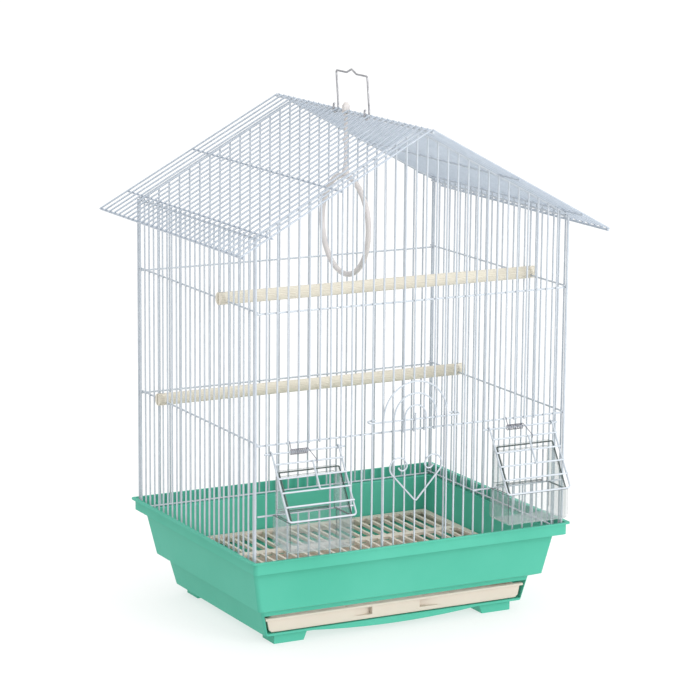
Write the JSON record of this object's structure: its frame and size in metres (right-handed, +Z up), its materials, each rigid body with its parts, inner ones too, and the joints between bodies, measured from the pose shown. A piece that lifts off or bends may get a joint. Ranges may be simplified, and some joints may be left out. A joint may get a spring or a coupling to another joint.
{
  "type": "bird cage",
  "caption": "Wire bird cage with a pitched roof on a stepped plastic tub, with a sliding door, feeder flaps with cups, a pull-out tray, perches, a swing and a carrying handle.",
  "frame": {"origin": "on the surface that the feet stand on, under the middle of the cage's box", "axes": "+Z up, -Y towards the front with the door, +X to the right seen from the front"},
  "size_m": [0.3958, 0.3355, 0.5355],
  "materials": {
    "coated_wire": "gloss white coating",
    "bare_wire": "bare drawn wire",
    "green_plastic": "moulded, satin gloss",
    "cream_plastic": "moulded, satin gloss",
    "clear_plastic": "clear moulded plastic",
    "perch_plastic": "ribbed, matt"
  },
  "bodies": {
    "tub": {"base_tub": "green_plastic"},
    "tray": {"waste_tray": "cream_plastic"},
    "grille": {"floor_grille": "cream_plastic"},
    "wire_cage": {"front_panel": "coated_wire", "back_panel": "coated_wire", "left_side_panel": "coated_wire", "right_side_panel": "coated_wire", "left_roof_panel": "coated_wire", "right_roof_panel": "coated_wire", "ridge_wire": "coated_wire", "left_hinge_wire": "coated_wire", "right_hinge_wire": "coated_wire", "left_feeder_sill": "coated_wire", "right_feeder_sill": "coated_wire", "left_feeder_cup": "clear_plastic", "right_feeder_cup": "clear_plastic", "upper_perch": "perch_plastic", "lower_perch": "perch_plastic", "flap_springs": "bare_wire"},
    "door": {"door_wires": "coated_wire", "door_guide_upper": "coated_wire", "door_guide_lower": "coated_wire", "door_heart": "coated_wire"},
    "left_flap": {"left_flap_frame": "coated_wire", "left_flap_bars": "coated_wire"},
    "right_flap": {"right_flap_frame": "coated_wire", "right_flap_bars": "coated_wire"},
    "handle": {"carry_handle": "bare_wire"},
    "swing": {"swing_ring": "cream_plastic", "swing_hanger": "cream_plastic"}
  },
  "joints": [
    {"name": "tray_slide", "type": "slide", "parent": "tub", "child": "tray", "axis": [0, -1, 0], "range_m": [0, 0.19]},
    {"name": "grille_lift", "type": "slide", "parent": "tub", "child": "grille", "axis": [0, 0, 1], "range_m": [0, 0.055]},
    {"name": "cage_lift", "type": "slide", "parent": "tub", "child": "wire_cage", "axis": [0, 0, 1], "range_m": [0, 0.1]},
    {"name": "door_slide", "type": "slide", "parent": "wire_cage", "child": "door", "axis": [0, 0, 1], "range_m": [0, 0.108]},
    {"name": "left_flap_hinge", "type": "hinge", "parent": "wire_cage", "child": "left_flap", "pos_m": [-0.11725, -0.1286, 0.196], "axis": [-1, 0, 0], "range_deg": [0, 100], "stiffness_Nm_per_rad": 0.01, "springref_deg": -28.65, "deforming": ["flap_springs"]},
    {"name": "right_flap_hinge", "type": "hinge", "parent": "wire_cage", "child": "right_flap", "pos_m": [0.11725, -0.1286, 0.196], "axis": [-1, 0, 0], "range_deg": [0, 100], "stiffness_Nm_per_rad": 0.01, "springref_deg": -28.65, "deforming": ["flap_springs"]},
    {"name": "handle_fold", "type": "hinge", "parent": "wire_cage", "child": "handle", "pos_m": [0, 0.00519, 0.49138], "axis": [0, 1, 0], "range_deg": [-110, 110]},
    {"name": "swing_pivot", "type": "hinge", "parent": "wire_cage", "child": "swing", "pos_m": [0, 0.01619, 0.49138], "axis": [0, 1, 0], "range_deg": [-30, 30]}
  ]
}
